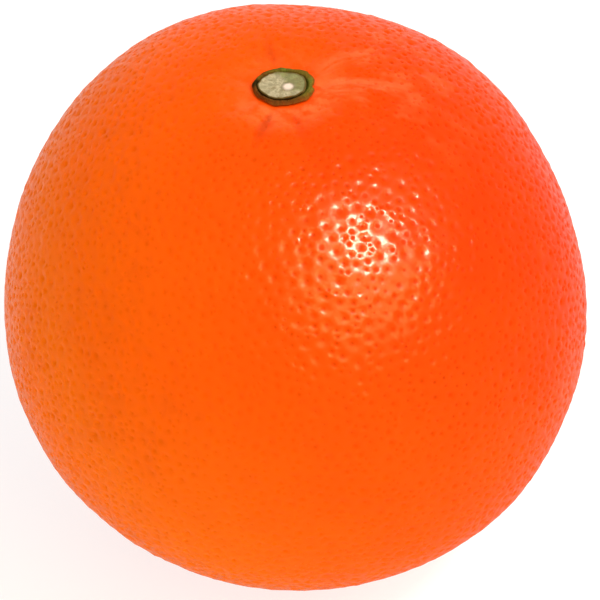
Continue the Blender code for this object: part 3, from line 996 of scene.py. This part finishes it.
def stem_material():
    g = Painter("pale_cut_stem")
    where = g.place()
    from_middle = g.vector("SUBTRACT", where, tuple(STEM_MIDDLE))
    side = g.measure("DOT_PRODUCT", from_middle, GREEN_WOOD_TOWARDS)
    green = g.math("ADD", g.ramp(side, *GREEN_WOOD_SIDE_RAMP), g.noise(where, WOOD_PATCHES))
    colour = g.mix(g.ramp(green, *GREEN_WOOD_RAMP), WOOD, GREEN_WOOD)
    stains = g.noise(where, WOOD_STAINS, detail=3.0, roughness=0.6)
    colour = g.mix(g.ramp(stains, *STAIN_RAMP), colour, STAIN)
    rays = g.noise(g.vector("NORMALIZE", from_middle), WOOD_RAYS, roughness=0.6)
    colour = g.mix(g.ramp(rays, *RAY_SHADE_RAMP), colour, RAY_SHADE)
    grain = g.noise(where, WOOD_GRAIN, detail=4.0, roughness=0.65)
    colour = g.mix(g.ramp(grain, *GRAIN_SHADE_RAMP), colour, GRAIN_SHADE)
    from_pith = distance_from_pith(g, from_middle)
    colour = g.mix(g.ramp(from_pith, *PITH_RING_RAMP), colour, PITH_RING)
    colour = g.mix(g.ramp(from_pith, *PITH_RAMP), colour, PITH)
    colour = g.mix(g.ramp(g.attribute("reach"), *BARK_RAMP), colour, BARK)
    relief = g.bump(g.times(grain, WOOD_RELIEF))
    g.set(Base_Color=colour, Roughness=WOOD_ROUGHNESS, IOR=DULL_IOR, Normal=relief)
    return g.finished()


stub_piece.data.materials.append(stem_material())

# %% [markdown]
# ## The camera
#
# The fruit is seen from above, at 43 degrees, from far enough away that it hardly narrows towards the
# back. It could be framed by eye in the viewport. Here the aim is worked out from the fruit's place in the
# 600 pixel wide picture, where one pixel is about 0.13 mm, so the camera needs no shift.

# %% Camera
CAMERA_ELEVATION = 43.0
CAMERA_DISTANCE = 0.60
CAMERA_LENS = 279.0
CAMERA_CLIP = 0.01
PHOTO_SIDE = 600
FRUIT_MIDDLE_PX = (295.5, 299.7)
PX = 0.1296 * MM

back = direction(CAMERA_ELEVATION, FRONT)
right, up = square_to(back)
fruit_middle = np.array([0.0, 0.0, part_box("fruit")[1].z / 2])
offset = np.array([PHOTO_SIDE / 2 - FRUIT_MIDDLE_PX[0], FRUIT_MIDDLE_PX[1] - PHOTO_SIDE / 2]) * PX
aim = fruit_middle + right * offset[0] + up * offset[1]


def look_at(obj, place, target):
    obj.location = place
    obj.rotation_euler = (Vector(place) - Vector(target)).to_track_quat("Z", "Y").to_euler()


camera = bpy.data.objects.new("camera", bpy.data.cameras.new("camera"))
camera.data.lens = CAMERA_LENS
camera.data.clip_start = CAMERA_CLIP
look_at(camera, aim + back * CAMERA_DISTANCE, aim)
bpy.context.scene.collection.objects.link(camera)
bpy.context.scene.camera = camera
print("camera at", [round(v, 3) for v in camera.location])

# %% [markdown]
# ## Floor and sky
#
# The studio is white all round. A grey floor in white light would do, but it darkens near the fruit and
# its reflection greys the lower rind, so the floor glows a little itself and is left out of reflections.
# The sky is dimmer towards the bottom, which keeps the underside of the fruit from looking lit from
# below.

# %% Floor and sky
FLOOR_REACH = 4.0
FLOOR_GREY = rgb(0.25, 0.25, 0.25)
FLOOR_ROUGHNESS = 0.9
FLOOR_GLOW = 0.75
WHITE = rgb(1.0, 1.0, 1.0)
SKY_HEIGHTS = (-1.0, -0.6)
SKY_STRENGTHS = (0.20, 0.85)


def pale_floor():
    corners = [(x * FLOOR_REACH, y * FLOOR_REACH, 0.0) for x, y in ((-1, -1), (1, -1), (1, 1), (-1, 1))]
    mesh = bpy.data.meshes.new("floor")
    mesh.from_pydata(corners, [], [(0, 1, 2, 3)])
    g = Graph("pale_floor")
    g.set(Base_Color=FLOOR_GREY, Roughness=FLOOR_ROUGHNESS)
    g.set(Emission_Color=WHITE, Emission_Strength=FLOOR_GLOW)
    mesh.materials.append(g.finished())
    floor = bpy.data.objects.new("floor", mesh)
    bpy.context.scene.collection.objects.link(floor)
    floor.visible_glossy = False


def studio_sky():
    world = bpy.data.worlds.new("studio")
    world.use_nodes = True
    nodes, links = world.node_tree.nodes, world.node_tree.links
    heading, split = nodes.new("ShaderNodeTexCoord"), nodes.new("ShaderNodeSeparateXYZ")
    fade = nodes.new("ShaderNodeMapRange")
    for socket, number in zip(fade.inputs[1:5], SKY_HEIGHTS + SKY_STRENGTHS):
        socket.default_value = number
    nodes["Background"].inputs["Color"].default_value = WHITE
    links.new(heading.outputs["Generated"], split.inputs[0])
    links.new(split.outputs["Z"], fade.inputs["Value"])
    links.new(fade.outputs[0], nodes["Background"].inputs["Strength"])
    bpy.context.scene.world = world


pale_floor()
studio_sky()
bpy.context.scene.view_settings.view_transform = "Standard"

# %% [markdown]
# ## Lights
#
# Three round lights stand to the upper right of the camera. The first is large and soft and does the
# shading. The other two are seen in gloss only: a small bright one that draws the bright net between the
# pits, and a wide warm one for the faint sheen round it. One lamp could do all three jobs, but then
# brightness, size and warmth of the highlight could not be set apart from the shading.


# %% A round light
def area_light(name, towards, distance, size, power, colour=(1.0, 1.0, 1.0), diffuse=True, glossy=True):
    """A round light this far from the fruit, towards a direction in right, up and back of the camera."""
    light = bpy.data.lights.new(name, "AREA")
    light.shape = "DISK"
    light.size = size
    light.energy = power
    light.color = colour
    obj = bpy.data.objects.new(name, light)
    heading = unit(towards[0] * right + towards[1] * up + towards[2] * back)
    look_at(obj, fruit_middle + heading * distance, fruit_middle)
    obj.visible_diffuse = diffuse
    obj.visible_glossy = glossy
    bpy.context.scene.collection.objects.link(obj)
    print(name, "of", power, "W")


# %% The three lights
area_light("soft_light", towards=(0.62, 0.50, 0.6), distance=1.2, size=0.9, power=9.0, glossy=False)
area_light(
    "glint_light",
    towards=(0.43, 0.40, 0.81),
    distance=0.8,
    size=0.09,
    power=49.0,
    colour=(1.0, 0.88, 0.82),
    diffuse=False,
)
area_light(
    "umbrella",
    towards=(0.43, 0.20, 0.87),
    distance=0.8,
    size=0.70,
    power=54.0,
    colour=(1.0, 0.68, 0.22),
    diffuse=False,
)
